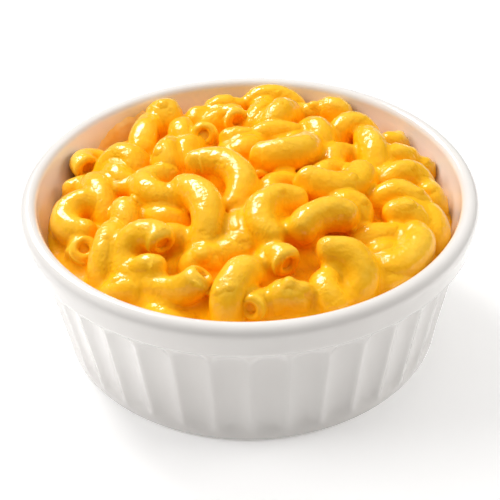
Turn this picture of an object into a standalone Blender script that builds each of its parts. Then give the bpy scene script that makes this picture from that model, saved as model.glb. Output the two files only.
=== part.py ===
"""Macaroni and cheese in its dish: elbow macaroni in cheese sauce, heaped in a fluted white ramekin.

Modelled in metres with +Z up. The origin is the middle of the underside, and the dish stands on Z = 0.
The sizes below are in millimetres. The dish's front, where a rib stands nearly central, faces -Y.
"""

import math
import random

import bmesh
import bpy
import numpy as np

MM = 0.001

# The dish
RIM_RADIUS = 62.5
DISH_HEIGHT = 45.0
FOOT_RADIUS = 54.0  # the ribs, where the wall meets the rounded foot
FOOT_ROUNDING = 1.6
FOOT_RING_WIDTH = 6.0
UNDERSIDE_RECESS = 0.9
WALL_TOP_RADIUS = 59.4  # the ribs, just under the band
BAND_RADIUS = 62.0  # the band's lower edge
BAND_BOTTOM = 36.0
BAND_EDGE_ROUNDING = 0.8
BAND_UNDERSIDE_RISE = 0.1
LIP_ROUNDING = 2.8
INNER_LIP_ROUNDING = 2.2
MOUTH_RADIUS = 57.6  # the inside, just under the lip
INSIDE_SLOPE = 0.23  # how far the inside closes in for each millimetre down
FLOOR_THICKNESS = 5.5
INSIDE_CORNER = 7.0
INSIDE_CORNER_STEPS = (0.45, 0.8, 0.97, 1)

# The flutes: wide shallow scoops between narrow ribs
FLUTES = 38
FLUTE_STEPS = 6
RIB_TURN = math.radians(-90.7)
SCOOP_DEPTH = 1.25
SCOOP_BOTTOM = 4.5
SCOOP_TOP = 34.9
SCOOP_ARCH = 2.2  # how much lower a scoop ends beside its ribs
SCOOP_ROUNDNESS = 2.2  # 2 is a plain hollow, and more is flatter in the middle
ARCH_SQUARENESS = 3
SCOOP_SHOULDER = 2.4

SHARP_ANGLE = math.radians(50)
PLAIN_STEPS = 2 * FLUTES
FLUTED_STEPS = FLUTES * FLUTE_STEPS

# The filling
WALL_GAP = 0.6
FILLING_CORNER_STEPS = (0.5, 0.85, 1)
BED_HEIGHT = 42.5  # what shows between the elbows, at the middle of the heap
BED_EDGE_HEIGHT = 35.0
BED_RADIUS = 55.0
HEAP_CELLS = 120
HEAP_SHARE_KEPT = 0.137
BEND_SAMPLES = 12

# Elbows laid by rule wherever the ones below leave room, so that the heap is close packed all over
FILL_SEED = 11
FILL_TRIES = 3000
FILL_REACH = 51.0
FILL_CLEARANCE = 5.0  # between the middles of two tubes
FILL_DROP = 3.0  # under the heap's round top
FILL_TUBE = 4.0
FILL_BEND_RADIUS = (5, 7)
FILL_HALF_SWEEP = (0.9, 1.5)
FILL_TIP = 3
FILL_RISE = 1
HEAP_TOP = 46.0
HEAP_EDGE_TOP = 37.0

# Each elbow on top of the heap: one end, the middle of the bend and the other end, then the tube's radius.
ELBOWS = (
    # Left side and back left
    ((-25, 41, 38), (-26, 46, 42), (-27, 50, 38), 5.4),
    ((-31.5, 24, 39), (-31, 30.5, 41), (-29, 44.5, 38), 4.4),
    ((-46.3, 17.2, 39.5), (-48.5, 21.5, 39), (-44.5, 25.5, 36), 4.0),
    ((-40.5, 17, 38), (-36.5, 19, 42), (-33, 11.5, 39), 4.8),
    ((-44, 9.5, 39), (-40.5, -0.5, 40), (-38.5, -6, 37), 4.5),
    ((-52, 9.5, 36.5), (-48.5, 10, 37), (-45.5, 12.5, 36), 3.9),
    ((-43, -1.5, 40), (-50, -7, 39), (-41.6, -13.4, 38.5), 4.5),
    ((-43.2, -21.5, 40), (-43.8, -19.8, 36.5), (-45, -18, 32), 4.3),
    ((-33.5, -6.5, 42), (-33, -13.5, 42), (-33, -18, 38), 4),
    ((-35, -15.5, 39), (-37, -25.5, 41), (-37.5, -31, 36), 4.4),
    # Front left
    ((-21.8, -28.4, 45), (-29.8, -24.2, 43.5), (-26.5, -34.4, 39.5), 4.4),
    ((-27.5, -34.5, 39), (-20.3, -39.5, 38.5), (-11.4, -40.3, 45), 4.1),
    ((-22, -34, 42), (-26, -33.5, 42), (-29.5, -33, 39), 3.6),
    ((-27, -9, 39), (-22, -12.5, 41), (-17, -13, 38), 4.3),
    ((-15, -31, 40), (-12, -30.5, 42), (-9.5, -30.5, 38), 4),
    ((-34.5, -37, 36), (-31, -37, 38), (-27.5, -38, 36), 3.9),
    # Middle
    ((-23, 6.5, 42), (-28.5, -1.5, 44), (-18.5, -5, 43), 4.6),
    ((-19, -3.5, 45), (-11, -15, 47), (-12, -24.5, 42), 4.6),
    ((-16, 6, 46), (-6, 4, 48), (-3.5, -11, 44), 4.7),
    ((-23, 9, 42), (-23, 19.5, 44), (-21.5, 23.5, 39), 4.1),
    ((3, 12.5, 45), (8.5, 9.5, 47), (15.5, 21, 43), 4.7),
    ((14.5, -1.5, 47), (22.5, -5, 45), (31, 6, 44), 4.8),
    ((14, -12, 45), (3, -18.5, 47), (7, -27.5, 44), 4.7),
    ((12, -26, 45), (19.5, -19.5, 47), (26.5, -19, 45), 4.8),
    ((23.5, -12, 43), (27, -10.5, 44), (29, -14, 41), 4.3),
    ((-7.5, -28.5, 40), (-4.5, -27, 42), (-1, -28.5, 39), 4.3),
    ((4, 4.5, 42), (3.5, 11.5, 41), (3.5, 24, 37), 3.4),
    # Back
    ((-12.8, 25.8, 45), (-12.7, 29, 42.5), (-12.3, 33.5, 37), 4.2),
    ((-10.5, 47, 38), (-7.5, 48.5, 41), (-5, 49, 37), 4.7),
    ((-16.5, 43, 38), (-14, 45, 40), (-12, 46, 38), 3.8),
    ((-2.7, 36.1, 43), (-5, 40.3, 42), (-10.5, 41, 39.5), 4.2),
    ((-7, 25, 43), (-2, 24.5, 44), (3, 27, 40), 3.8),
    ((1, 51, 39), (8, 52.5, 42), (15, 49.5, 38), 4.5),
    ((7, 33, 42), (11, 39.5, 44), (12.5, 44.5, 38), 4.6),
    ((3, 26, 43), (9, 27, 44), (16, 28.5, 40), 4.1),
    ((3, 39.5, 42), (4.5, 43.5, 42), (5.5, 48, 38), 4),
    ((18, 32.5, 41), (21.5, 25, 43), (22, 20.5, 38), 4.5),
    ((18, 46, 37), (19.5, 46, 40), (22, 47, 37), 3.7),
    ((24.5, 46, 38), (27, 46, 41), (27.5, 44.5, 36), 4.7),
    ((28, 31.5, 41), (32, 34, 42), (36, 31, 38), 4.5),
    # Right side
    ((35, 25.5, 42), (36, 16.5, 43), (36, 10, 40), 4.5),
    ((39.5, 27, 37), (42, 27, 40), (44.5, 28.5, 36), 3.9),
    ((39.5, 15, 39), (42, 16, 42), (44.5, 16.5, 37), 4.1),
    ((40.5, 5.5, 41), (45, 7, 41), (48.5, 6, 37), 4.7),
    ((37, -4.5, 41), (42, -4.5, 42), (46, -8.5, 38), 4.6),
    ((48.5, 16.5, 37), (51, 16, 38.5), (50, 17, 34), 3.7),
    ((48.5, 5, 37), (50.5, -0.5, 38), (51, -3, 33), 4),
    ((47, -8, 38), (49, -15.5, 38), (48, -20, 33), 4.4),
    ((37, -14, 41), (41, -13, 42), (44, -16.5, 38), 4.4),
    ((30, -22, 39), (34.5, -21, 40), (39, -21, 38), 4.5),
    ((32, -29, 38), (34.5, -28, 40), (37, -28.5, 36), 4.1),
    ((42, -20, 41), (42, -29.5, 41), (33, -34.5, 39), 4.6),
    # Front
    ((18, -33, 44), (26.5, -36, 43), (25.5, -42, 38), 4.8),
    ((19, -45.5, 40), (18, -40.5, 41), (23, -38, 38), 4),
    ((-1, -37, 42), (-5, -43.5, 42), (-6, -47, 38), 4.9),
    ((9.5, -36.5, 44), (6.5, -32.5, 43), (4.5, -32, 39), 4.4),
    ((-0.4, -49.2, 40.4), (2, -45.6, 39.4), (6, -43.6, 38.6), 3.7),
    ((6.8, -44.8, 40.5), (9, -45, 42), (11.5, -45, 39), 4.2),
    ((32, -38, 37), (35.5, -37, 38), (40, -32.5, 36), 4.1),
)


def clear_scene():
    for obj in list(bpy.data.objects):
        bpy.data.objects.remove(obj, do_unlink=True)


def make_material(name, color, roughness):
    material = bpy.data.materials.new(name)
    material.use_nodes = True
    shader = material.node_tree.nodes["Principled BSDF"]
    shader.inputs["Base Color"].default_value = (*color, 1)
    shader.inputs["Roughness"].default_value = roughness
    shader.inputs["Metallic"].default_value = 0
    return material


def add_object(name, bm, material, collection):
    bmesh.ops.recalc_face_normals(bm, faces=bm.faces)
    mesh = bpy.data.meshes.new(name)
    bm.to_mesh(mesh)
    bm.free()
    mesh.materials.append(material)
    mesh.shade_smooth()
    mesh.set_sharp_from_angle(angle=SHARP_ANGLE)
    obj = bpy.data.objects.new(name, mesh)
    collection.objects.link(obj)
    return obj


def wall_radius(height):
    """The ribs' radius: the wall leans out evenly from the foot to the band."""
    share = (height - FOOT_ROUNDING) / (BAND_BOTTOM - FOOT_ROUNDING)
    return FOOT_RADIUS + share * (WALL_TOP_RADIUS - FOOT_RADIUS)


def inside_radius(height):
    """The inside's radius, with a round corner where the wall runs into the floor."""
    straight = MOUTH_RADIUS - INSIDE_SLOPE * (DISH_HEIGHT - LIP_ROUNDING - height)
    above_floor = height - FLOOR_THICKNESS
    if above_floor >= INSIDE_CORNER:
        return straight
    inset = INSIDE_CORNER - math.sqrt(INSIDE_CORNER**2 - (INSIDE_CORNER - above_floor) ** 2)
    return straight - inset


def across_flute(step):
    """How far a step round the wall is from the middle of its scoop: 0 there and 1 on a rib."""
    return abs(2 * (step % FLUTE_STEPS) / FLUTE_STEPS - 1)


def scoop_depth(step):
    return SCOOP_DEPTH * (1 - across_flute(step) ** SCOOP_ROUNDNESS)


def arch_height(step):
    return SCOOP_TOP - SCOOP_ARCH * across_flute(step) ** ARCH_SQUARENESS


def add_ring(bm, steps, radius_at, height_at):
    """A closed ring of edges round the axis. The two functions give each step's radius and height."""
    verts = []
    for step in range(steps):
        turn = RIB_TURN + math.tau * step / steps
        radius = radius_at(step) * MM
        point = (radius * math.cos(turn), radius * math.sin(turn), height_at(step) * MM)
        verts.append(bm.verts.new(point))
    return [bm.edges.new((verts[step - 1], verts[step])) for step in range(steps)]


def add_plain_ring(bm, radius, height):
    return add_ring(bm, PLAIN_STEPS, lambda step: radius, lambda step: height)


def arc_points(center, radius, start, end, steps):
    """Points of the dish's section along an arc, from one angle to the other in degrees."""
    points = []
    for i in range(steps + 1):
        angle = math.radians(start + (end - start) * i / steps)
        points.append((center[0] + radius * math.cos(angle), center[1] + radius * math.sin(angle)))
    return points


def foot_section():
    """From the recess under the dish, out over the ring that it stands on, to the start of the wall."""
    outer = FOOT_RADIUS - FOOT_ROUNDING
    inner = outer - FOOT_RING_WIDTH
    recess = (inner - UNDERSIDE_RECESS, UNDERSIDE_RECESS)
    return [recess, (inner, 0)] + arc_points((outer, FOOT_ROUNDING), FOOT_ROUNDING, -90, -30, 2)


def band_and_inside_section():
    """From under the band, over the lip, down the inside and into the floor."""
    lip_out = RIM_RADIUS - LIP_ROUNDING
    lip_in = MOUTH_RADIUS + INNER_LIP_ROUNDING
    inner_lip_height = DISH_HEIGHT - INNER_LIP_ROUNDING
    band = [
        (BAND_RADIUS - BAND_EDGE_ROUNDING, BAND_BOTTOM + BAND_UNDERSIDE_RISE),
        (BAND_RADIUS, BAND_BOTTOM + BAND_EDGE_ROUNDING),
    ]
    lip = arc_points((lip_out, DISH_HEIGHT - LIP_ROUNDING), LIP_ROUNDING, 0, 90, 4)
    lip += arc_points((lip_in, inner_lip_height), INNER_LIP_ROUNDING, 100, 180, 3)
    corner_top = FLOOR_THICKNESS + INSIDE_CORNER
    heights = [BED_EDGE_HEIGHT, corner_top]
    heights += [corner_top - INSIDE_CORNER * share for share in INSIDE_CORNER_STEPS]
    return band + lip + [(inside_radius(height), height) for height in heights]


def make_ramekin(material, collection):
    """One loft: a round foot, the fluted wall, the plain band and lip, and the plain inside."""
    bm = bmesh.new()
    rings = [add_plain_ring(bm, *point) for point in foot_section()]
    rings.append(add_ring(bm, FLUTED_STEPS, lambda step: FOOT_RADIUS, lambda step: FOOT_ROUNDING))
    rings.append(
        add_ring(
            bm,
            FLUTED_STEPS,
            lambda step: wall_radius(SCOOP_BOTTOM) - scoop_depth(step),
            lambda step: SCOOP_BOTTOM,
        )
    )
    rings.append(
        add_ring(
            bm,
            FLUTED_STEPS,
            lambda step: wall_radius(arch_height(step) - SCOOP_SHOULDER) - scoop_depth(step),
            lambda step: arch_height(step) - SCOOP_SHOULDER,
        )
    )
    rings.append(
        add_ring(bm, FLUTED_STEPS, lambda step: wall_radius(arch_height(step)), arch_height)
    )
    rings.append(add_plain_ring(bm, WALL_TOP_RADIUS, BAND_BOTTOM))
    rings += [add_plain_ring(bm, *point) for point in band_and_inside_section()]
    for lower, upper in zip(rings, rings[1:]):
        bmesh.ops.bridge_loops(bm, edges=lower + upper)
    bmesh.ops.edgeloop_fill(bm, edges=rings[0])
    bmesh.ops.edgeloop_fill(bm, edges=rings[-1])
    return add_object("ramekin", bm, material, collection)


def bend_points(start, middle, end):
    """Points along the arc through an elbow's two ends and the middle of its bend."""
    start, middle, end = (np.array(point, float) for point in (start, middle, end))
    to_middle = middle - start
    to_end = end - start
    normal = np.cross(to_middle, to_end)
    center = start + (
        np.cross(normal, to_middle) * (to_end @ to_end)
        + np.cross(to_end, normal) * (to_middle @ to_middle)
    ) / (2 * normal @ normal)
    across = start - center
    along = np.cross(normal / np.linalg.norm(normal), across)
    sweep = math.atan2(*((end - center) @ axis for axis in (along, across))) % math.tau
    turns = np.linspace(0, sweep, BEND_SAMPLES)[:, None]
    return center + across * np.cos(turns) + along * np.sin(turns)


def domed(x, y, middle, edge):
    """A height that falls from the middle of the heap to its edge."""
    return middle + (edge - middle) * np.minimum((x * x + y * y) / BED_RADIUS**2, 1)


def fill_elbows(laid):
    """More elbows, turned at random, each placed where it clears all those laid before it."""
    draw = random.Random(FILL_SEED)
    taken = np.concatenate([bend_points(*bend) for *bend, radius in laid])
    added = []
    for _ in range(FILL_TRIES):
        reach = FILL_REACH * math.sqrt(draw.random())
        place = draw.uniform(0, math.tau)
        turn = draw.uniform(0, math.tau)
        bend_radius = draw.uniform(*FILL_BEND_RADIUS)
        half_sweep = draw.uniform(*FILL_HALF_SWEEP)
        tip = draw.uniform(-FILL_TIP, FILL_TIP)
        x, y = reach * math.cos(place), reach * math.sin(place)
        z = domed(x, y, HEAP_TOP, HEAP_EDGE_TOP) - FILL_DROP
        bend = []
        for angle, lift in ((turn - half_sweep, tip), (turn, FILL_RISE), (turn + half_sweep, -tip)):
            bend.append((x + bend_radius * math.cos(angle), y + bend_radius * math.sin(angle), z + lift))
        points = bend_points(*bend)
        gaps = np.linalg.norm(points[:, None] - taken[None], axis=2)
        if gaps.min() > FILL_CLEARANCE and np.hypot(*points.T[:2]).max() < FILL_REACH:
            taken = np.concatenate([taken, points])
            added.append((*bend, FILL_TUBE))
    return added


def heap_heights(x, y):
    """The top of the heap over each point: the bed, or the elbow that stands highest there."""
    heights = domed(x, y, BED_HEIGHT, BED_EDGE_HEIGHT)
    for *bend, radius in (*ELBOWS, *fill_elbows(ELBOWS)):
        for px, py, pz in bend_points(*bend):
            under = radius**2 - (x - px) ** 2 - (y - py) ** 2
            top = pz + np.sqrt(np.maximum(under, 0))
            heights = np.where(under > 0, np.maximum(heights, top), heights)
    return heights


def make_heap(material, collection):
    """The elbows and sauce as one solid: a disc raised to the heap's top, and sides down to the floor."""
    edge_radius = inside_radius(BED_EDGE_HEIGHT) - WALL_GAP
    bm = bmesh.new()
    bmesh.ops.create_grid(bm, x_segments=HEAP_CELLS, y_segments=HEAP_CELLS, size=1)
    square = np.array([vert.co[:2] for vert in bm.verts])
    # A square grid is drawn in to a disc: its sides become the circle, and its cells stay near one size.
    x = edge_radius * square[:, 0] * np.sqrt(1 - square[:, 1] ** 2 / 2)
    y = edge_radius * square[:, 1] * np.sqrt(1 - square[:, 0] ** 2 / 2)
    for vert, *point in zip(bm.verts, x, y, heap_heights(x, y)):
        vert.co = [value * MM for value in point]
    rim = [edge for edge in bm.edges if edge.is_boundary]
    bottom = FLOOR_THICKNESS + WALL_GAP
    corner_top = FLOOR_THICKNESS + INSIDE_CORNER
    levels = [BED_EDGE_HEIGHT - 1, corner_top]
    levels += [corner_top - (INSIDE_CORNER - WALL_GAP) * share for share in FILLING_CORNER_STEPS]
    for height in levels:
        grown = bmesh.ops.extrude_edge_only(bm, edges=rim)["geom"]
        rim = [item for item in grown if isinstance(item, bmesh.types.BMEdge) and item.is_boundary]
        radius = min(inside_radius(height) - WALL_GAP, edge_radius) * MM
        for vert in {vert for edge in rim for vert in edge.verts}:
            flat = vert.co.xy.normalized() * radius
            vert.co = (flat.x, flat.y, max(height, bottom) * MM)
    bmesh.ops.edgeloop_fill(bm, edges=rim)
    heap = add_object("macaroni_and_cheese", bm, material, collection)
    thinned = heap.modifiers.new("thinned", "DECIMATE")
    thinned.ratio = HEAP_SHARE_KEPT
    thinned.use_collapse_triangulate = True
    return heap


def main():
    clear_scene()
    collection = bpy.data.collections.new("macaroni_and_cheese_in_ramekin")
    bpy.context.scene.collection.children.link(collection)
    make_ramekin(make_material("white glaze", (0.86, 0.85, 0.82), 0.18), collection)
    make_heap(make_material("cheese sauce", (0.90, 0.42, 0.02), 0.30), collection)


main()
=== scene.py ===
"""Macaroni and cheese in a fluted white ramekin: the finish of every surface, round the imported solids.

Metres, +Z up, with the middle of the dish's underside at the origin. Sizes named below are in millimetres
and are multiplied by MM where they are used.
"""

import math
import random

import bpy
import numpy as np
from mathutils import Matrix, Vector, noise


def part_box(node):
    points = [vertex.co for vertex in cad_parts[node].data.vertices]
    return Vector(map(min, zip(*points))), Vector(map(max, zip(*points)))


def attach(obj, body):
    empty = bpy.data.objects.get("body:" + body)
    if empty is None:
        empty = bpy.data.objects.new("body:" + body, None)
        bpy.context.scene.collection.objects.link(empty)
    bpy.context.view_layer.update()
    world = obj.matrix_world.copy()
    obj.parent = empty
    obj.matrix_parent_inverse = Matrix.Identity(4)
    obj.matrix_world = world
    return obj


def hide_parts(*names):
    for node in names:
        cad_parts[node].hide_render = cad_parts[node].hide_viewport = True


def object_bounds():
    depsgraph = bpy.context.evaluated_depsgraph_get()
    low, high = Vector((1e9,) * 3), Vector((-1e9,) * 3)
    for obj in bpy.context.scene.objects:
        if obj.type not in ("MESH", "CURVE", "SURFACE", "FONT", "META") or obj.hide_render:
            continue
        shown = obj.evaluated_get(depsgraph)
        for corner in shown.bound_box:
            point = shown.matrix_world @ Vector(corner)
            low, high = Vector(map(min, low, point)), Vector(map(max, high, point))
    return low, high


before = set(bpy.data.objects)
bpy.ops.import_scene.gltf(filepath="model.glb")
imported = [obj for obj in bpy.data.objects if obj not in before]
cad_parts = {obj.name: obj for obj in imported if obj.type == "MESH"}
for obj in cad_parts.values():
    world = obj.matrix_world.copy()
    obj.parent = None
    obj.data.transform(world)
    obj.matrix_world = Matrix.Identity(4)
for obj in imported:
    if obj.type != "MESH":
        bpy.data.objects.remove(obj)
solids_low, solids_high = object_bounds()


# ---------------------------------------------------------------------------------------------
# The table and the light. A plain pale table top, with one large soft lamp high behind the left
# shoulder of the dish, a wide one overhead, and weaker ones that fill the left and right sides.
MM = 0.001
TABLE_SIZE = 4000
TABLE_DROP = 0.02

bpy.ops.object.select_all(action="DESELECT")
bpy.ops.mesh.primitive_plane_add(size=TABLE_SIZE * MM, location=(0, 0, -TABLE_DROP * MM))
bpy.ops.object.transform_apply(location=True, rotation=False, scale=False)
table = bpy.context.object
table.name = "table_top"


def new_finish(name, roughness):
    """A material with its shader, its nodes and the object coordinates that every pattern follows."""
    finish = bpy.data.materials.new(name)
    finish.use_nodes = True
    nodes = finish.node_tree.nodes
    shader = nodes["Principled BSDF"]
    shader.inputs["Roughness"].default_value = roughness
    return finish, nodes, finish.node_tree.links, shader


def speckle(nodes, links, size, detail=2.0):
    """A noise pattern whose patches are about this many millimetres across."""
    place = nodes.new("ShaderNodeTexCoord")
    pattern = nodes.new("ShaderNodeTexNoise")
    pattern.inputs["Scale"].default_value = 1 / (size * MM)
    pattern.inputs["Detail"].default_value = detail
    links.new(place.outputs["Object"], pattern.inputs["Vector"])
    return pattern.outputs["Fac"]


def graded(nodes, links, value, stops):
    """A colour ramp over a value. Each stop is a place from 0 to 1 and a linear colour."""
    ramp = nodes.new("ShaderNodeValToRGB")
    while len(ramp.color_ramp.elements) < len(stops):
        ramp.color_ramp.elements.new(0.5)
    for element, (place, color) in zip(ramp.color_ramp.elements, stops):
        element.position = place
        element.color = (*color, 1)
    links.new(value, ramp.inputs["Fac"])
    return ramp.outputs["Color"]


table_finish, nodes, links, shader = new_finish("table_paint", 0.6)
shader.inputs["Specular IOR Level"].default_value = 0.1
patches = speckle(nodes, links, 120)
links.new(
    graded(nodes, links, patches, [(0.3, (0.93, 0.93, 0.93)), (0.7, (0.95, 0.95, 0.95))]),
    shader.inputs["Base Color"],
)
shader.inputs["Emission Color"].default_value = (1, 1, 1, 1)
shader.inputs["Emission Strength"].default_value = 0.2
table.data.materials.append(table_finish)


def add_softbox(name, place, width, height, radiance, color):
    """A soft lamp that faces the dish, as bright to look at as its radiance says."""
    bpy.ops.object.light_add(type="AREA", location=place)
    lamp = bpy.context.object
    lamp.name = name
    lamp.data.shape = "RECTANGLE"
    lamp.data.size = width
    lamp.data.size_y = height
    lamp.data.energy = radiance * math.pi * width * height
    lamp.data.color = color
    lamp.rotation_euler = (-Vector(place)).to_track_quat("-Z", "Y").to_euler()
    return lamp


add_softbox("back_left_lamp", (-0.42, 0.62, 0.75), 0.46, 0.40, 13.0, (1, 0.99, 0.97))
add_softbox("left_lamp", (-0.95, -0.05, 0.8), 0.6, 0.5, 6.2, (0.99, 0.99, 1)).visible_glossy = False
add_softbox("right_lamp", (1.0, 0.1, 0.5), 0.6, 0.5, 5.4, (1, 0.99, 0.98)).visible_glossy = False
add_softbox("overhead_lamp", (0.0, 0.15, 1.15), 2.0, 1.6, 1.0, (1, 1, 1)).visible_glossy = False

world = bpy.data.worlds.new("studio")
world.use_nodes = True
world.node_tree.nodes["Background"].inputs["Color"].default_value = (1, 0.86, 0.72, 1)
world.node_tree.nodes["Background"].inputs["Strength"].default_value = 0.07
world.cycles_visibility.glossy = False
bpy.context.scene.world = world
bpy.context.scene.view_settings.view_transform = "Standard"

# The camera looks down at 36.6 degrees from the front, tipped a little to one side, through a long lens.
bpy.ops.object.camera_add(location=(-0.00004, -0.25085, 0.20808), rotation=(math.radians(90 - 36.61), 0, 0))
camera = bpy.context.object
camera.rotation_euler.rotate_axis("Z", math.radians(-1.41))
camera.data.sensor_width = 36
camera.data.lens = 78.63
bpy.context.scene.camera = camera


# ---------------------------------------------------------------------------------------------
# The ramekin: one piece of white stoneware, pressed with 38 shallow scoops round its wall and a
# plain band under its rounded lip, glazed all over but for the ring that it stands on.
FLUTES = 38
FLUTE_COLUMNS = 12
RIB_TURN = math.radians(-90.7)
RIM_RADIUS = (solids_high[0] - solids_low[0]) / 2 / MM
DISH_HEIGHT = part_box("ramekin")[1].z / MM
FOOT_RADIUS = 54.0
FOOT_ROUNDING = 1.6
FOOT_RING_WIDTH = 6.0
UNDERSIDE_RECESS = 0.9
WALL_TOP_RADIUS = 59.4
BAND_RADIUS = 62.0
BAND_BOTTOM = 36.0
LIP_ROUNDING = 2.8
MOUTH_RADIUS = 57.6
INNER_LIP_ROUNDING = 2.2
INSIDE_SLOPE = 0.23
FLOOR_THICKNESS = 5.5
INSIDE_CORNER = 7.0
SCOOP_DEPTH = 1.25
SCOOP_TOP = 34.9
SCOOP_ARCH = 2.2
SCOOP_ROUNDNESS = 2.2
RIB_ROUNDING = 0.955
SCOOP_FADE_BELOW = 5.0
SCOOP_FADE_ABOVE = 3.0
WALL_LEVELS = 34
LEVEL_SPREAD = 0.08  # how far the levels are drawn towards the foot and the arches


def arc(center, radius, start, end, steps):
    """Points of the dish's section along an arc, from one angle to the other in degrees."""
    turns = np.radians(np.linspace(start, end, steps + 1))
    return [(center[0] + radius * math.cos(t), center[1] + radius * math.sin(t)) for t in turns]


def inside_radius(height):
    """The inside's radius, with a round corner where the wall runs into the floor."""
    straight = MOUTH_RADIUS - INSIDE_SLOPE * (DISH_HEIGHT - LIP_ROUNDING - height)
    into_corner = np.maximum(INSIDE_CORNER - (height - FLOOR_THICKNESS), 0)
    return straight - INSIDE_CORNER + np.sqrt(INSIDE_CORNER**2 - into_corner**2)


def eased(share):
    share = np.clip(share, 0, 1)
    return share * share * (3 - 2 * share)


foot_out = FOOT_RADIUS - FOOT_ROUNDING
foot_in = foot_out - FOOT_RING_WIDTH
foot_section = [
    (foot_in - 1.1, UNDERSIDE_RECESS),
    (foot_in - 0.7, UNDERSIDE_RECESS * 0.9),
    (foot_in - 0.25, UNDERSIDE_RECESS * 0.3),
    (foot_in + 0.2, 0),
] + arc((foot_out, FOOT_ROUNDING), FOOT_ROUNDING, -90, 0, 6)
lip_middle = (RIM_RADIUS - LIP_ROUNDING, DISH_HEIGHT - LIP_ROUNDING)
lip_inside = (MOUTH_RADIUS + INNER_LIP_ROUNDING, DISH_HEIGHT - INNER_LIP_ROUNDING)
inside_heights = [40, 37, 34, 31, 27, 22, 17, 12.5, 10, 8, 6.7, 5.9, FLOOR_THICKNESS]
upper_section = [
    (WALL_TOP_RADIUS - 0.08, BAND_BOTTOM - 0.6),
    (WALL_TOP_RADIUS, BAND_BOTTOM - 0.15),
    (WALL_TOP_RADIUS + 0.35, BAND_BOTTOM),
    (WALL_TOP_RADIUS + 1.0, BAND_BOTTOM + 0.1),
    (BAND_RADIUS - 0.9, BAND_BOTTOM + 0.22),
    (BAND_RADIUS - 0.35, BAND_BOTTOM + 0.5),
    (BAND_RADIUS - 0.08, BAND_BOTTOM + 1.0),
    (BAND_RADIUS, BAND_BOTTOM + 1.8),
    (BAND_RADIUS + 0.3, BAND_BOTTOM + 4.4),
]
upper_section += arc(lip_middle, LIP_ROUNDING, 0, 90, 9)
upper_section += arc(lip_inside, INNER_LIP_ROUNDING, 100, 180, 7)
upper_section += [(inside_radius(height), height) for height in inside_heights]

# One flute from foot to floor, as a sheet whose columns run up the dish and whose levels run round it.
levels = len(foot_section) + WALL_LEVELS + len(upper_section)
bpy.ops.mesh.primitive_grid_add(x_subdivisions=FLUTE_COLUMNS, y_subdivisions=levels - 1, size=1)
ramekin = bpy.context.object
ramekin.name = "glazed_ramekin"
flat = np.empty(len(ramekin.data.vertices) * 3)
ramekin.data.vertices.foreach_get("co", flat)
flat = flat.reshape(-1, 3)
column = flat[:, 0] + 0.5
level = np.rint((flat[:, 1] + 0.5) * (levels - 1)).astype(int)

from_rib = np.abs(2 * column - 1)
across = 1 - np.minimum(from_rib, RIB_ROUNDING) ** SCOOP_ROUNDNESS
arch = SCOOP_TOP - SCOOP_ARCH * from_rib**3
climb = np.clip((level - len(foot_section)) / (WALL_LEVELS - 1), 0, 1)
climb = climb - LEVEL_SPREAD * np.sin(2 * math.pi * climb)
wall_height = FOOT_ROUNDING + climb * (arch - FOOT_ROUNDING)
wall_share = (wall_height - FOOT_ROUNDING) / (BAND_BOTTOM - FOOT_ROUNDING)
fade = eased((wall_height - FOOT_ROUNDING) / SCOOP_FADE_BELOW)
fade = fade * eased((arch - wall_height) / SCOOP_FADE_ABOVE)
wall_radius = FOOT_RADIUS + wall_share * (WALL_TOP_RADIUS - FOOT_RADIUS) - SCOOP_DEPTH * across * fade

section = np.array(foot_section + [(0, 0)] * WALL_LEVELS + upper_section)
on_wall = (level >= len(foot_section)) & (level < len(foot_section) + WALL_LEVELS)
radius = np.where(on_wall, wall_radius, section[level, 0])
height = np.where(on_wall, wall_height, section[level, 1])
turn = RIB_TURN + column * math.tau / FLUTES
flute = np.stack([radius * np.cos(turn), radius * np.sin(turn), height], axis=1) * MM
ramekin.data.vertices.foreach_set("co", flute.ravel())

# The flute is repeated round the dish, welded into one wall, and the floor and the underside are closed.
bpy.ops.object.mode_set(mode="EDIT")
bpy.ops.mesh.select_all(action="SELECT")
bpy.ops.mesh.spin(steps=FLUTES, angle=math.tau, center=(0, 0, 0), axis=(0, 0, 1), dupli=True)
bpy.ops.mesh.select_all(action="SELECT")
bpy.ops.mesh.remove_doubles(threshold=0.02 * MM)
bpy.ops.mesh.select_mode(type="EDGE")
bpy.ops.mesh.select_all(action="DESELECT")
bpy.ops.mesh.select_non_manifold()
bpy.ops.mesh.edge_face_add()
bpy.ops.mesh.select_mode(type="FACE")
bpy.ops.mesh.select_all(action="SELECT")
bpy.ops.mesh.normals_make_consistent(inside=False)
bpy.ops.object.mode_set(mode="OBJECT")
bpy.ops.object.shade_smooth_by_angle(angle=math.radians(80))

glaze, nodes, links, shader = new_finish("white_stoneware_glaze", 0.16)
tone_value = speckle(nodes, links, 30)
links.new(
    graded(nodes, links, tone_value, [(0.3, (0.79, 0.765, 0.74)), (0.7, (0.83, 0.81, 0.785))]),
    shader.inputs["Base Color"],
)
shader.inputs["Coat Weight"].default_value = 0.5
shader.inputs["Coat Roughness"].default_value = 0.06
ripple = speckle(nodes, links, 14, 3)
bump = nodes.new("ShaderNodeBump")
bump.inputs["Strength"].default_value = 0.12
bump.inputs["Distance"].default_value = 0.4 * MM
links.new(ripple, bump.inputs["Height"])
links.new(bump.outputs["Normal"], shader.inputs["Normal"])
ramekin.data.materials.append(glaze)

bare_clay, nodes, links, shader = new_finish("bare_foot_ring", 0.75)
grain = speckle(nodes, links, 0.6, 4)
links.new(
    graded(nodes, links, grain, [(0.35, (0.70, 0.66, 0.60)), (0.65, (0.80, 0.77, 0.72))]),
    shader.inputs["Base Color"],
)
ramekin.data.materials.append(bare_clay)
for face in ramekin.data.polygons:
    if face.center.z < 0.2 * MM and face.center.xy.length > (foot_in - 0.5) * MM:
        face.material_index = 1
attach(ramekin, "root")
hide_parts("ramekin")


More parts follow.
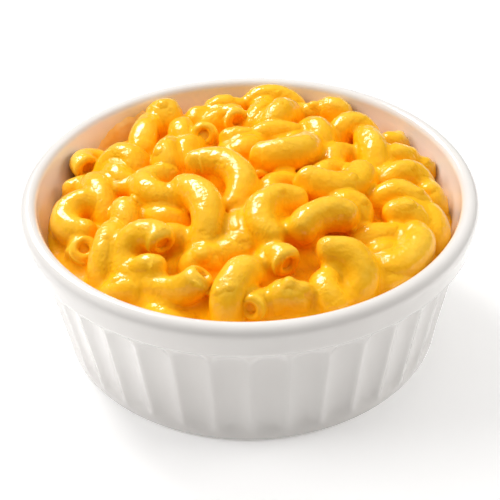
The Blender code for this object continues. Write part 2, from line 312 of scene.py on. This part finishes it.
# ---------------------------------------------------------------------------------------------
# The macaroni: cooked wheat elbows, each a smooth bent tube about 8 mm thick with a hole through it
# and squarely cut ends. They lie heaped in the sauce, a top layer and another that shows between.
AROUND = 24
ALONG = 15
TUBE_LENGTHS = 3.4  # the straight tube's length, in tube radii
WALL_SHARE = 0.62  # the wall's thickness, in tube radii
ELBOW_LENGTH = 21.0
LINE_STEP = 0.5
LINE_SMOOTHING = 16
STATIONS = 40
SINKING = 0.05
END_NARROWING = 0.14

# Each elbow that lies on top: one end, the middle of the bend and the other end, the tube's radius, and how
# the two ends are: open to view, coated over with sauce, or sunk out of sight.
TOP_ELBOWS = (
    # Left side and back left
    ((-25, 41, 38), (-26, 46, 42), (-27, 50, 38), 5.4, "sunk", "sunk"),
    ((-31.5, 24, 39), (-31, 30.5, 41), (-29, 44.5, 38), 4.4, "coated", "sunk"),
    ((-46.3, 17.2, 39.5), (-48.5, 21.5, 39), (-44.5, 25.5, 36), 4.0, "open", "sunk"),
    ((-40.5, 17, 38), (-36.5, 19, 42), (-33, 11.5, 39), 4.8, "sunk", "sunk"),
    ((-44, 9.5, 39), (-40.5, -0.5, 40), (-38.5, -6, 37), 4.5, "coated", "sunk"),
    ((-52, 9.5, 36.5), (-48.5, 10, 37), (-45.5, 12.5, 36), 3.9, "coated", "sunk"),
    ((-43, -1.5, 40), (-50, -7, 39), (-41.6, -13.4, 38.5), 4.5, "sunk", "coated"),
    ((-43.2, -21.5, 40), (-43.8, -19.8, 36.5), (-45, -18, 32), 4.3, "open", "sunk"),
    ((-33.5, -6.5, 42), (-33, -13.5, 42), (-33, -18, 38), 4, "coated", "sunk"),
    ((-35, -15.5, 39), (-37, -25.5, 41), (-37.5, -31, 36), 4.4, "sunk", "sunk"),
    # Front left
    ((-21.8, -28.4, 45), (-29.8, -24.2, 43.5), (-26.5, -34.4, 39.5), 4.4, "open", "sunk"),
    ((-27.5, -34.5, 39), (-20.3, -39.5, 38.5), (-11.4, -40.3, 45), 4.1, "sunk", "open"),
    ((-22, -34, 42), (-26, -33.5, 42), (-29.5, -33, 39), 3.6, "coated", "sunk"),
    ((-27, -9, 39), (-22, -12.5, 41), (-17, -13, 38), 4.3, "sunk", "sunk"),
    ((-15, -31, 40), (-12, -30.5, 42), (-9.5, -30.5, 38), 4, "sunk", "sunk"),
    ((-34.5, -37, 36), (-31, -37, 38), (-27.5, -38, 36), 3.9, "sunk", "sunk"),
    # Middle
    ((-23, 6.5, 42), (-28.5, -1.5, 44), (-18.5, -5, 43), 4.6, "sunk", "coated"),
    ((-19, -3.5, 45), (-11, -15, 47), (-12, -24.5, 42), 4.6, "coated", "sunk"),
    ((-16, 6, 46), (-6, 4, 48), (-3.5, -11, 44), 4.7, "coated", "sunk"),
    ((-23, 9, 42), (-23, 19.5, 44), (-21.5, 23.5, 39), 4.1, "sunk", "sunk"),
    ((3, 12.5, 45), (8.5, 9.5, 47), (15.5, 21, 43), 4.7, "coated", "sunk"),
    ((14.5, -1.5, 47), (22.5, -5, 45), (31, 6, 44), 4.8, "coated", "coated"),
    ((14, -12, 45), (3, -18.5, 47), (7, -27.5, 44), 4.7, "coated", "coated"),
    ((12, -26, 45), (19.5, -19.5, 47), (26.5, -19, 45), 4.8, "coated", "coated"),
    ((23.5, -12, 43), (27, -10.5, 44), (29, -14, 41), 4.3, "sunk", "sunk"),
    ((-7.5, -28.5, 40), (-4.5, -27, 42), (-1, -28.5, 39), 4.3, "sunk", "sunk"),
    ((4, 4.5, 42), (3.5, 11.5, 41), (3.5, 24, 37), 3.4, "open", "sunk"),
    # Back
    ((-12.8, 25.8, 45), (-12.7, 29, 42.5), (-12.3, 33.5, 37), 4.2, "open", "sunk"),
    ((-10.5, 47, 38), (-7.5, 48.5, 41), (-5, 49, 37), 4.7, "sunk", "sunk"),
    ((-16.5, 43, 38), (-14, 45, 40), (-12, 46, 38), 3.8, "sunk", "sunk"),
    ((-2.7, 36.1, 43), (-5, 40.3, 42), (-10.5, 41, 39.5), 4.2, "open", "sunk"),
    ((-7, 25, 43), (-2, 24.5, 44), (3, 27, 40), 3.8, "coated", "sunk"),
    ((1, 51, 39), (8, 52.5, 42), (15, 49.5, 38), 4.5, "coated", "sunk"),
    ((7, 33, 42), (11, 39.5, 44), (12.5, 44.5, 38), 4.6, "sunk", "sunk"),
    ((3, 26, 43), (9, 27, 44), (16, 28.5, 40), 4.1, "sunk", "sunk"),
    ((3, 39.5, 42), (4.5, 43.5, 42), (5.5, 48, 38), 4, "sunk", "sunk"),
    ((18, 32.5, 41), (21.5, 25, 43), (22, 20.5, 38), 4.5, "sunk", "sunk"),
    ((18, 46, 37), (19.5, 46, 40), (22, 47, 37), 3.7, "sunk", "sunk"),
    ((24.5, 46, 38), (27, 46, 41), (27.5, 44.5, 36), 4.7, "sunk", "sunk"),
    ((28, 31.5, 41), (32, 34, 42), (36, 31, 38), 4.5, "sunk", "sunk"),
    # Right side
    ((35, 25.5, 42), (36, 16.5, 43), (36, 10, 40), 4.5, "sunk", "sunk"),
    ((39.5, 27, 37), (42, 27, 40), (44.5, 28.5, 36), 3.9, "sunk", "sunk"),
    ((39.5, 15, 39), (42, 16, 42), (44.5, 16.5, 37), 4.1, "sunk", "sunk"),
    ((40.5, 5.5, 41), (45, 7, 41), (48.5, 6, 37), 4.7, "sunk", "sunk"),
    ((37, -4.5, 41), (42, -4.5, 42), (46, -8.5, 38), 4.6, "sunk", "sunk"),
    ((48.5, 16.5, 37), (51, 16, 38.5), (50, 17, 34), 3.7, "coated", "sunk"),
    ((48.5, 5, 37), (50.5, -0.5, 38), (51, -3, 33), 4, "sunk", "sunk"),
    ((47, -8, 38), (49, -15.5, 38), (48, -20, 33), 4.4, "sunk", "sunk"),
    ((37, -14, 41), (41, -13, 42), (44, -16.5, 38), 4.4, "coated", "sunk"),
    ((30, -22, 39), (34.5, -21, 40), (39, -21, 38), 4.5, "sunk", "sunk"),
    ((32, -29, 38), (34.5, -28, 40), (37, -28.5, 36), 4.1, "sunk", "sunk"),
    ((42, -20, 41), (42, -29.5, 41), (33, -34.5, 39), 4.6, "coated", "sunk"),
    # Front
    ((18, -33, 44), (26.5, -36, 43), (25.5, -42, 38), 4.8, "coated", "sunk"),
    ((19, -45.5, 40), (18, -40.5, 41), (23, -38, 38), 4, "sunk", "sunk"),
    ((-1, -37, 42), (-5, -43.5, 42), (-6, -47, 38), 4.9, "sunk", "sunk"),
    ((9.5, -36.5, 44), (6.5, -32.5, 43), (4.5, -32, 39), 4.4, "open", "sunk"),
    ((-0.4, -49.2, 40.4), (2, -45.6, 39.4), (6, -43.6, 38.6), 3.7, "open", "sunk"),
    ((6.8, -44.8, 40.5), (9, -45, 42), (11.5, -45, 39), 4.2, "sunk", "sunk"),
    ((32, -38, 37), (35.5, -37, 38), (40, -32.5, 36), 4.1, "sunk", "sunk"),
)
HEAP_TOP = 46.0
HEAP_EDGE_TOP = 37.0
HEAP_RADIUS = 55.0


def domed(x, y, middle, edge):
    """A height that falls from the middle of the heap to its edge."""
    return middle + (edge - middle) * np.minimum((x * x + y * y) / HEAP_RADIUS**2, 1)


def bend_frame(bend):
    """The arc through an elbow's two ends and the middle of its bend: its centre, radius, axes and sweep."""
    start, middle, end = (np.array(point, float) for point in bend)
    to_middle = middle - start
    to_end = end - start
    normal = np.cross(to_middle, to_end)
    center = start + (
        np.cross(normal, to_middle) * (to_end @ to_end)
        + np.cross(to_end, normal) * (to_middle @ to_middle)
    ) / (2 * normal @ normal)
    across = start - center
    bend_radius = np.linalg.norm(across)
    across = across / bend_radius
    normal = normal / np.linalg.norm(normal)
    along = np.cross(normal, across)
    sweep = math.atan2((end - center) @ along, (end - center) @ across) % math.tau
    return center, bend_radius, across, along, normal, sweep


def bend_points(bend, samples=12):
    """Points along the middle line of an elbow."""
    center, bend_radius, across, along, _, sweep = bend_frame(bend)
    turns = np.linspace(0, sweep, samples)[:, None]
    return center + bend_radius * (across * np.cos(turns) + along * np.sin(turns))


def scatter_elbows(laid, seed, tries, reach, clearance, drop, tube):
    """More elbows, turned at random, each placed where it clears all those laid before it."""
    draw = random.Random(seed)
    taken = np.concatenate([bend_points(row[:3]) for row in laid])
    added = []
    for _ in range(tries):
        out = reach * math.sqrt(draw.random())
        place = draw.uniform(0, math.tau)
        turn = draw.uniform(0, math.tau)
        bend_radius = draw.uniform(5, 7)
        half_sweep = draw.uniform(0.9, 1.5)
        tip = draw.uniform(-3, 3)
        x, y = out * math.cos(place), out * math.sin(place)
        z = domed(x, y, HEAP_TOP, HEAP_EDGE_TOP) - drop
        bend = []
        for angle, lift in ((turn - half_sweep, tip), (turn, 1), (turn + half_sweep, -tip)):
            bend.append((x + bend_radius * math.cos(angle), y + bend_radius * math.sin(angle), z + lift))
        points = bend_points(bend)
        gaps = np.linalg.norm(points[:, None] - taken[None], axis=2)
        if gaps.min() > clearance and np.hypot(*points.T[:2]).max() < reach:
            taken = np.concatenate([taken, points])
            added.append((*bend, tube, "sunk", "sunk"))
    return added


between_elbows = scatter_elbows(TOP_ELBOWS, 11, 3000, 51.0, 5.0, 3.0, 4.0)
lower_elbows = scatter_elbows(list(TOP_ELBOWS) + between_elbows, 5, 4000, 51.0, 5.4, 7.5, 4.0)
elbows = list(TOP_ELBOWS) + between_elbows + lower_elbows


def wobble(points, size, amount):
    """Slow unevenness over a set of points, so that no two elbows are quite alike."""
    return np.array([noise.noise(Vector(point) / size) for point in points]) * amount


def middle_line(bend, tube, ends):
    """Stations along an elbow's middle line, evenly spaced from end to end, and its length.

    The arc is the part that shows. An end that is sunk runs on from it, and dips into the sauce.
    """
    _, bend_radius, _, _, _, sweep = bend_frame(bend)
    arc_length = bend_radius * sweep
    line = bend_points(bend, max(int(arc_length / LINE_STEP), 4))
    hidden = ends.count("sunk")
    for place, state in ((0, ends[0]), (-1, ends[1])):
        if state != "sunk":
            continue
        run = np.clip((ELBOW_LENGTH - arc_length) / hidden, 3, 9)
        inner = 1 if place == 0 else -2
        heading = line[place] - line[inner]
        heading[2] = min(heading[2], -0.4 * np.linalg.norm(heading))
        heading /= np.linalg.norm(heading)
        out = np.arange(LINE_STEP, run, LINE_STEP)[:, None]
        more = line[place] + heading * out - np.array((0, 0, SINKING)) * out**2
        line = np.concatenate([more[::-1], line] if place == 0 else [line, more])
    for _ in range(LINE_SMOOTHING):
        line[1:-1] = (line[:-2] + 2 * line[1:-1] + line[2:]) / 4
    most_out = inside_radius(line[:, 2]) - tube + 0.4
    out = np.maximum(np.hypot(line[:, 0], line[:, 1]), 1e-6)
    line[:, :2] *= np.minimum(most_out / out, 1)[:, None]
    run = np.concatenate([[0], np.cumsum(np.linalg.norm(np.diff(line, axis=0), axis=1))])
    spots = np.linspace(0, run[-1], STATIONS)
    return np.stack([np.interp(spots, run, line[:, axis]) for axis in range(3)], axis=1), run[-1]


def lay_tube(around, share, stations, length, tube):
    """Moves points of a straight tube onto an elbow's middle line.

    around holds each point's place across the tube, in tube radii, and share its place along it. The
    tube keeps a little of its width on the inner side of a tight bend, where it would fold over itself.
    """
    along = np.gradient(stations, axis=0)
    along /= np.linalg.norm(along, axis=1)[:, None]
    bend = np.gradient(along, length / (STATIONS - 1), axis=0)
    side = np.cross(along[0], (0.3, 0.2, 1))
    sides = []
    for heading in along:
        side = side - heading * (side @ heading)
        side /= np.linalg.norm(side)
        sides.append(side)
    sides = np.array(sides)
    spots = np.linspace(0, 1, STATIONS)

    def at(values):
        return np.stack([np.interp(share, spots, values[:, axis]) for axis in range(3)], axis=1)

    first, second, heading, curve = at(sides), at(np.cross(along, sides)), at(along), at(bend)
    beyond = (share - np.clip(share, 0, 1)) * length
    middle = at(stations) + heading * beyond[:, None]
    offset = tube * (around[:, :1] * first * 0.97 + around[:, 1:] * second * 1.03)
    offset *= 1 + wobble(middle + 2 * offset, 9.0, 0.10)[:, None]
    tightness = np.einsum("ij,ij->i", offset, curve)
    excess = np.maximum(tightness - 0.75, 0) / np.maximum(np.einsum("ij,ij->i", curve, curve), 1e-9)
    return middle + offset - curve * excess[:, None]


# One straight tube: a ring drawn out along Z, given its wall inwards, with the cut rims a little rounded.
bpy.ops.object.select_all(action="DESELECT")
bpy.ops.mesh.primitive_circle_add(vertices=AROUND, radius=1)
straight_tube = bpy.context.object
bpy.ops.object.mode_set(mode="EDIT")
bpy.ops.mesh.select_mode(type="VERT")
bpy.ops.mesh.select_all(action="SELECT")
for _ in range(ALONG):
    bpy.ops.mesh.extrude_region_move(TRANSFORM_OT_translate={"value": (0, 0, TUBE_LENGTHS / ALONG)})
bpy.ops.mesh.select_all(action="SELECT")
bpy.ops.mesh.normals_make_consistent(inside=False)
bpy.ops.object.mode_set(mode="OBJECT")
wall = straight_tube.modifiers.new("wall", "SOLIDIFY")
wall.thickness = WALL_SHARE
wall.offset = -1
rims = straight_tube.modifiers.new("rims", "BEVEL")
rims.width = 0.26
rims.segments = 2
rims.limit_method = "ANGLE"
rims.angle_limit = math.radians(60)
for modifier in ("wall", "rims"):
    bpy.ops.object.modifier_apply(modifier=modifier)
bpy.ops.object.shade_smooth()

tube_points = np.empty(len(straight_tube.data.vertices) * 3)
straight_tube.data.vertices.foreach_get("co", tube_points)
tube_points = tube_points.reshape(-1, 3)
tube_share = tube_points[:, 2] / TUBE_LENGTHS

laid_elbows = []
for *bend, tube, start_state, end_state in elbows:
    ends = (start_state, end_state)
    stations, length = middle_line(bend, tube, ends)
    elbow = straight_tube.copy()
    elbow.data = straight_tube.data.copy()
    bpy.context.collection.objects.link(elbow)
    # The tube narrows a little at its ends, and stops inside the sauce's round nose where one covers it.
    short = [0 if state == "open" else 0.2 * tube for state in ends]
    share = (short[0] + tube_share * (length - short[0] - short[1])) / length
    near_end = np.clip(1 - np.minimum(tube_share, 1 - tube_share) * length / (1.2 * tube), 0, 1)
    around = tube_points[:, :2] * (1 - END_NARROWING * near_end**2)[:, None]
    laid = lay_tube(around, share, stations, length, tube)
    elbow.data.vertices.foreach_set("co", (laid * MM).ravel())
    laid_elbows.append(elbow)

bpy.data.objects.remove(straight_tube)
bpy.ops.object.select_all(action="DESELECT")
for elbow in laid_elbows:
    elbow.select_set(True)
macaroni = laid_elbows[0]
bpy.context.view_layer.objects.active = macaroni
bpy.ops.object.join()
macaroni.name = "macaroni"
bpy.ops.object.mode_set(mode="EDIT")
bpy.ops.mesh.select_all(action="SELECT")
bpy.ops.mesh.normals_make_consistent(inside=False)
bpy.ops.object.mode_set(mode="OBJECT")


# ---------------------------------------------------------------------------------------------
# The cheese sauce: a thick glossy cheddar sauce that fills the dish between the elbows, coats them
# thinly, climbs where they touch in rounded fillets, and has set in small clots on top of them.
SAUCE_VOXEL = 0.6
SAUCE_BASE = 27.0
BED_HEIGHT = 42.0
BED_EDGE_HEIGHT = 34.5
BED_CELLS = 96
BED_UNEVENNESS = 2.0
INTO_WALL = 0.35
CORE_INSET = 0.14
SMOOTH_ROUNDS = 3
FILLET_ROUNDS = 34
NOSE_SHARE = 0.2
CLOTS = 70


def sauce_level(x, y):
    """How high the sauce stands between the elbows."""
    flat_points = np.stack([x, y, np.zeros_like(x)], axis=1)
    return domed(x, y, BED_HEIGHT, BED_EDGE_HEIGHT) + wobble(flat_points, 8.0, BED_UNEVENNESS)


bpy.ops.object.select_all(action="DESELECT")
bpy.ops.mesh.primitive_grid_add(x_subdivisions=BED_CELLS, y_subdivisions=BED_CELLS, size=2)
sauce = bpy.context.object
square = np.empty(len(sauce.data.vertices) * 3)
sauce.data.vertices.foreach_get("co", square)
square = square.reshape(-1, 3)
# The square sheet is drawn in to a disc: its sides become the circle, and its cells stay near one size.
disc_x = square[:, 0] * np.sqrt(1 - square[:, 1] ** 2 / 2)
disc_y = square[:, 1] * np.sqrt(1 - square[:, 0] ** 2 / 2)
edge_radius = inside_radius(BED_EDGE_HEIGHT)
bed_z = sauce_level(disc_x * edge_radius, disc_y * edge_radius)
share_out = np.hypot(disc_x, disc_y)
spread = edge_radius + share_out**6 * (inside_radius(bed_z) + INTO_WALL - edge_radius)
bed = np.stack([disc_x * spread, disc_y * spread, bed_z], axis=1)
sauce.data.vertices.foreach_set("co", (bed * MM).ravel())
bpy.ops.object.mode_set(mode="EDIT")
bpy.ops.mesh.select_all(action="SELECT")
bpy.ops.mesh.extrude_region_move(TRANSFORM_OT_translate={"value": (0, 0, -1 * MM)})
bpy.ops.transform.resize(value=(1, 1, 0), center_override=(0, 0, SAUCE_BASE * MM))
bpy.ops.mesh.select_all(action="SELECT")
bpy.ops.mesh.normals_make_consistent(inside=False)
bpy.ops.object.mode_set(mode="OBJECT")

# A solid core for each elbow, a little inside its skin and short of its open ends, so that the sauce
# runs over and between the elbows, and stands inside their holes.
bpy.ops.object.select_all(action="DESELECT")
bpy.ops.mesh.primitive_uv_sphere_add(segments=20, ring_count=30, radius=1)
plug = bpy.context.object
ball = np.empty(len(plug.data.vertices) * 3)
plug.data.vertices.foreach_get("co", ball)
ball = ball.reshape(-1, 3)
# The ball's two halves are drawn apart into a capsule: its end fifths become the round noses.
turned = np.arccos(np.clip(ball[:, 2], -1, 1)) / math.pi
core_share = np.clip((turned - NOSE_SHARE) / (1 - 2 * NOSE_SHARE), 0, 1)
into_nose = math.pi / 2 * (1 - np.minimum(np.minimum(turned, 1 - turned) / NOSE_SHARE, 1))
core_nose = np.sin(into_nose) * np.sign(turned - 0.5)
flat_length = np.maximum(np.hypot(ball[:, 0], ball[:, 1]), 1e-6)
core_around = ball[:, :2] / flat_length[:, None] * (np.cos(into_nose) ** 0.8)[:, None]

core_draw = random.Random(8)
cores = []
for *bend, tube, start_state, end_state in elbows:
    ends = (start_state, end_state)
    stations, length = middle_line(bend, tube, ends)
    core = plug.copy()
    core.data = plug.data.copy()
    bpy.context.collection.objects.link(core)
    # How far the nose at each end stands out, and how far its root lies from the end of the elbow.
    noses = [0.3 if state == "open" else 0.8 * tube for state in ends]
    roots = [core_draw.uniform(1.2, 2.5) if state == "open" else 0.5 * tube for state in ends]
    along = roots[0] + core_share * (length - roots[0] - roots[1])
    share = (along + core_nose * np.where(core_nose < 0, *noses)) / length
    laid = lay_tube(core_around * (1 - CORE_INSET / tube), share, stations, length, tube)
    core.data.vertices.foreach_set("co", (laid * MM).ravel())
    cores.append(core)

# Clots: small soft lumps of sauce that stand on the elbows' upper sides.
clot_draw = random.Random(21)
for _ in range(CLOTS):
    *bend, tube, _, _ = elbows[clot_draw.randrange(len(TOP_ELBOWS) + len(between_elbows))]
    lies = bend_points(bend, 24)
    at = clot_draw.randrange(7, 17)
    heading = clot_draw.uniform(0, math.tau)
    lean = clot_draw.uniform(0, 0.7)
    size = clot_draw.uniform(1.4, 3.0)
    axis = lies[at + 1] - lies[at]
    axis /= np.linalg.norm(axis)
    way = np.array((math.sin(lean) * math.cos(heading), math.sin(lean) * math.sin(heading), math.cos(lean)))
    way -= axis * (way @ axis)
    way /= np.linalg.norm(way)
    clot = plug.copy()
    clot.data = plug.data.copy()
    bpy.context.collection.objects.link(clot)
    stretch = np.array((clot_draw.uniform(0.8, 1.5), clot_draw.uniform(0.8, 1.3), 0.9)) * size
    laid = ball * stretch + lies[at] + way * (tube - 0.9 * size + clot_draw.uniform(0.15, 0.45))
    clot.data.vertices.foreach_set("co", (laid * MM).ravel())
    cores.append(clot)

bpy.data.objects.remove(plug)
bpy.ops.object.select_all(action="DESELECT")
for core in cores:
    core.select_set(True)
sauce.select_set(True)
bpy.context.view_layer.objects.active = sauce
bpy.ops.object.join()
sauce.name = "cheese_sauce"
merge = sauce.modifiers.new("merge", "REMESH")
merge.mode = "VOXEL"
merge.voxel_size = SAUCE_VOXEL * MM
bpy.ops.object.modifier_apply(modifier="merge")
bpy.ops.object.shade_smooth()


def settle(mesh, smooth_rounds, fillet_rounds):
    """Smooths the sauce all over, then fills only its hollows, as a thick liquid does that wets things."""
    count = len(mesh.vertices)
    points = np.empty(count * 3)
    mesh.vertices.foreach_get("co", points)
    points = points.reshape(-1, 3)
    edges = np.empty(len(mesh.edges) * 2, np.int32)
    mesh.edges.foreach_get("vertices", edges)
    edges = edges.reshape(-1, 2)
    corners = np.empty(len(mesh.loops), np.int32)
    mesh.loops.foreach_get("vertex_index", corners)
    quads = corners.reshape(-1, 4)
    ends = np.concatenate([edges[:, 0], edges[:, 1]])
    others = np.concatenate([edges[:, 1], edges[:, 0]])
    neighbours = np.bincount(ends, minlength=count)

    def pull():
        sums = [np.bincount(ends, points[others, axis], minlength=count) for axis in range(3)]
        return np.stack(sums, axis=1) / neighbours[:, None] - points

    def facing():
        one_way = points[quads[:, 2]] - points[quads[:, 0]]
        other_way = points[quads[:, 3]] - points[quads[:, 1]]
        normals = np.cross(one_way, other_way)
        sums = np.zeros((count, 3))
        for corner in range(4):
            for axis in range(3):
                sums[:, axis] += np.bincount(quads[:, corner], normals[:, axis], minlength=count)
        return sums / np.maximum(np.linalg.norm(sums, axis=1), 1e-12)[:, None]

    for _ in range(smooth_rounds):
        points = points + 0.5 * pull()
    wetting = 0.30 + 0.7 * eased((wobble(points / MM, 7.0, 1.6) + 1) / 2)
    for _ in range(fillet_rounds):
        move = pull()
        hollow = np.einsum("ij,ij->i", move, facing()) > 0
        points = points + move * (0.8 * wetting * hollow)[:, None]
    for _ in range(2):
        points = points + 0.4 * pull()
    mesh.vertices.foreach_set("co", points.ravel())
    mesh.update()


settle(sauce.data, SMOOTH_ROUNDS, FILLET_ROUNDS)

# Below what shows, the sauce is cut square and drawn down to the floor of the dish in a few steps.
bpy.ops.object.mode_set(mode="EDIT")
bpy.ops.mesh.select_all(action="SELECT")
bpy.ops.mesh.bisect(plane_co=(0, 0, (SAUCE_BASE + 1.5) * MM), plane_no=(0, 0, 1), clear_inner=True)
for step_down in (20, 12.5, 8.5, 6.5, FLOOR_THICKNESS + 0.05):
    bpy.ops.mesh.extrude_region_move()
    bpy.ops.transform.resize(value=(1, 1, 0), center_override=(0, 0, step_down * MM))
    share = inside_radius(step_down) / inside_radius(SAUCE_BASE if step_down == 20 else last_step)
    bpy.ops.transform.resize(value=(share, share, 1), center_override=(0, 0, 0))
    last_step = step_down
bpy.ops.mesh.edge_face_add()
bpy.ops.mesh.select_all(action="SELECT")
bpy.ops.mesh.normals_make_consistent(inside=False)
bpy.ops.object.mode_set(mode="OBJECT")
bpy.ops.object.shade_smooth()


# How much light is painted into each point of the heap: high where it stands above what lies round it and
# faces up, low down in the gaps and on the down-facing sides, where the colour is painted deeper orange as
# painted shade.
HEAP_CELLS = 124
LEVELLING_ROUNDS = 30
pieces_points = {}
surroundings = np.full((HEAP_CELLS, HEAP_CELLS), HEAP_EDGE_TOP)
for piece in (macaroni, sauce):
    points = np.empty(len(piece.data.vertices) * 3)
    piece.data.vertices.foreach_get("co", points)
    points = points.reshape(-1, 3) / MM
    cells = np.clip((points[:, :2] + HEAP_CELLS / 2).astype(int), 0, HEAP_CELLS - 1)
    np.maximum.at(surroundings, (cells[:, 0], cells[:, 1]), points[:, 2])
    pieces_points[piece.name] = (points, cells)
for _ in range(LEVELLING_ROUNDS):
    inner = surroundings[1:-1, 1:-1]
    in_x = surroundings[:-2, 1:-1] + surroundings[2:, 1:-1]
    in_y = surroundings[1:-1, :-2] + surroundings[1:-1, 2:]
    surroundings[1:-1, 1:-1] = (inner + in_x + in_y) / 5
for piece in (macaroni, sauce):
    points, cells = pieces_points[piece.name]
    normals = np.empty(len(points) * 3)
    piece.data.vertices.foreach_get("normal", normals)
    above = points[:, 2] - surroundings[cells[:, 0], cells[:, 1]]
    # Painted light: higher on points that stand up and face up, lower in the gaps and on down-facing sides as
    # painted shade.
    painted_light_level = 0.45 + above / 12 + 0.35 * (normals.reshape(-1, 3)[:, 2] - 0.4)
    piece.data.attributes.new("painted_light_level", "FLOAT", "POINT").data.foreach_set("value", np.clip(painted_light_level, 0, 1))


def cheese_finish(name, stops, roughness):
    """Sauce over pasta: a wet orange-yellow skin, painted a deeper colour down in the gaps of the heap and on
    its down-facing sides as painted shade.
    """
    finish, nodes, links, shader = new_finish(name, roughness)
    # The painted light level picks the colour: painted shade deepens it in the gaps, painted light pales it
    # on the tops.
    painted_light_level = nodes.new("ShaderNodeAttribute")
    painted_light_level.attribute_name = "painted_light_level"
    # Random patches of the cheese's own uneven tone, added to the painted light level.
    tone_value = nodes.new("ShaderNodeMath")
    tone_value.operation = "MULTIPLY_ADD"
    tone_value.inputs[1].default_value = 0.4
    links.new(speckle(nodes, links, 9, 3), tone_value.inputs[0])
    links.new(painted_light_level.outputs["Fac"], tone_value.inputs[2])
    links.new(graded(nodes, links, tone_value.outputs["Value"], stops), shader.inputs["Base Color"])
    shader.inputs["Subsurface Weight"].default_value = 0.12
    shader.inputs["Subsurface Radius"].default_value = (1.0, 0.75, 0.45)
    shader.inputs["Subsurface Scale"].default_value = 1.5 * MM
    shader.inputs["Specular IOR Level"].default_value = 0.12
    wetness = graded(nodes, links, painted_light_level.outputs["Fac"], [(0.35, (0.05, 0.05, 0.05)), (0.65, (1, 1, 1))])
    links.new(wetness, shader.inputs["Coat Weight"])
    shader.inputs["Coat Roughness"].default_value = 0.12
    waves = speckle(nodes, links, 2.6, 2)
    bump = nodes.new("ShaderNodeBump")
    bump.inputs["Strength"].default_value = 0.8
    bump.inputs["Distance"].default_value = 0.6 * MM
    links.new(waves, bump.inputs["Height"])
    # Here and there the skin has set in fine wrinkles.
    wrinkles = speckle(nodes, links, 0.9, 2)
    patches = graded(nodes, links, speckle(nodes, links, 7), [(0.52, (0, 0, 0)), (0.62, (1, 1, 1))])
    fine = nodes.new("ShaderNodeBump")
    fine.inputs["Distance"].default_value = 0.25 * MM
    links.new(patches, fine.inputs["Strength"])
    links.new(wrinkles, fine.inputs["Height"])
    links.new(bump.outputs["Normal"], fine.inputs["Normal"])
    links.new(fine.outputs["Normal"], shader.inputs["Normal"])
    links.new(fine.outputs["Normal"], shader.inputs["Coat Normal"])
    return finish


# Colours along the painted light level: the low stops are deeper orange as painted shade in the gaps and on
# down-facing sides, the high stops paler yellow as painted light on the tops.
PASTA_TONES_AND_PAINTED_SHADE = (
    (0.20, (1.0, 0.45, 0.002)),
    (0.55, (1.0, 0.475, 0.006)),
    (0.90, (1.0, 0.525, 0.022)),
    (1.00, (1.0, 0.57, 0.045)),
)
SAUCE_TONES_AND_PAINTED_SHADE = (
    (0.20, (1.0, 0.44, 0.002)),
    (0.55, (1.0, 0.46, 0.005)),
    (0.90, (1.0, 0.51, 0.018)),
    (1.00, (1.0, 0.55, 0.038)),
)
macaroni.data.materials.clear()
macaroni.data.materials.append(cheese_finish("sauced_macaroni", PASTA_TONES_AND_PAINTED_SHADE, 0.3))
sauce.data.materials.clear()
sauce.data.materials.append(cheese_finish("cheddar_sauce", SAUCE_TONES_AND_PAINTED_SHADE, 0.3))
for piece in (macaroni, sauce):
    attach(piece, "root")
    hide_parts("macaroni_and_cheese")


# ---------------------------------------------------------------------------------------------
# The smear: a thin film of sauce that the filling left on the dish's inside at the back left, just
# above the heap. It thins out to nothing at its edges. Its colour is painted paler than the sauce's, partly
# as a thin film over white glaze looks and partly as painted light that lifts it out of the shade it stands
# in.
SMEAR_TURNS = (112, 152)
SMEAR_HEIGHTS = (33.0, 42.6)
SMEAR_MIDDLE_TURN = 128
SMEAR_TOP = 42.2
SMEAR_DROP = 0.018
SMEAR_FADE = 3.0
SMEAR_FILM = 0.7
SMEAR_COLUMNS = 90
SMEAR_LEVELS = 40

bpy.ops.object.select_all(action="DESELECT")
bpy.ops.mesh.primitive_grid_add(x_subdivisions=SMEAR_COLUMNS, y_subdivisions=SMEAR_LEVELS, size=1)
smear = bpy.context.object
smear.name = "sauce_smear"
flat = np.empty(len(smear.data.vertices) * 3)
smear.data.vertices.foreach_get("co", flat)
flat = flat.reshape(-1, 3) + 0.5
turn = SMEAR_TURNS[0] + flat[:, 0] * (SMEAR_TURNS[1] - SMEAR_TURNS[0])
height = SMEAR_HEIGHTS[0] + flat[:, 1] * (SMEAR_HEIGHTS[1] - SMEAR_HEIGHTS[0])
run = np.stack([turn, height, height * 0], axis=1)
top = SMEAR_TOP - SMEAR_DROP * (turn - SMEAR_MIDDLE_TURN) ** 2 + wobble(run * (1, 0, 0), 3.0, 1.2)
beside = np.minimum(turn - SMEAR_TURNS[0], SMEAR_TURNS[1] - turn) / 8
film = SMEAR_FILM * eased((top - height) / SMEAR_FADE) * eased(beside) + wobble(run, 1.6, 0.1)
radius = inside_radius(height) + 0.2 - film
turn = np.radians(turn)
laid = np.stack([radius * np.cos(turn), radius * np.sin(turn), height], axis=1) * MM
smear.data.vertices.foreach_set("co", laid.ravel())
smear.data.update()
bpy.ops.object.mode_set(mode="EDIT")
bpy.ops.mesh.select_all(action="SELECT")
bpy.ops.mesh.normals_make_consistent(inside=False)
bpy.ops.object.mode_set(mode="OBJECT")
bpy.ops.object.shade_smooth()

film_finish, nodes, links, shader = new_finish("sauce_film", 0.25)
patches = speckle(nodes, links, 5, 3)
# Paler than the sauce: partly the thin film's own look over white glaze, partly painted light against the
# shade on this part of the wall.
film_tones_and_painted_light = [(0.35, (1.0, 0.68, 0.22)), (0.65, (1.0, 0.80, 0.42))]
links.new(graded(nodes, links, patches, film_tones_and_painted_light), shader.inputs["Base Color"])
shader.inputs["Coat Weight"].default_value = 0.4
smear.data.materials.append(film_finish)
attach(smear, "root")
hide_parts("macaroni_and_cheese")
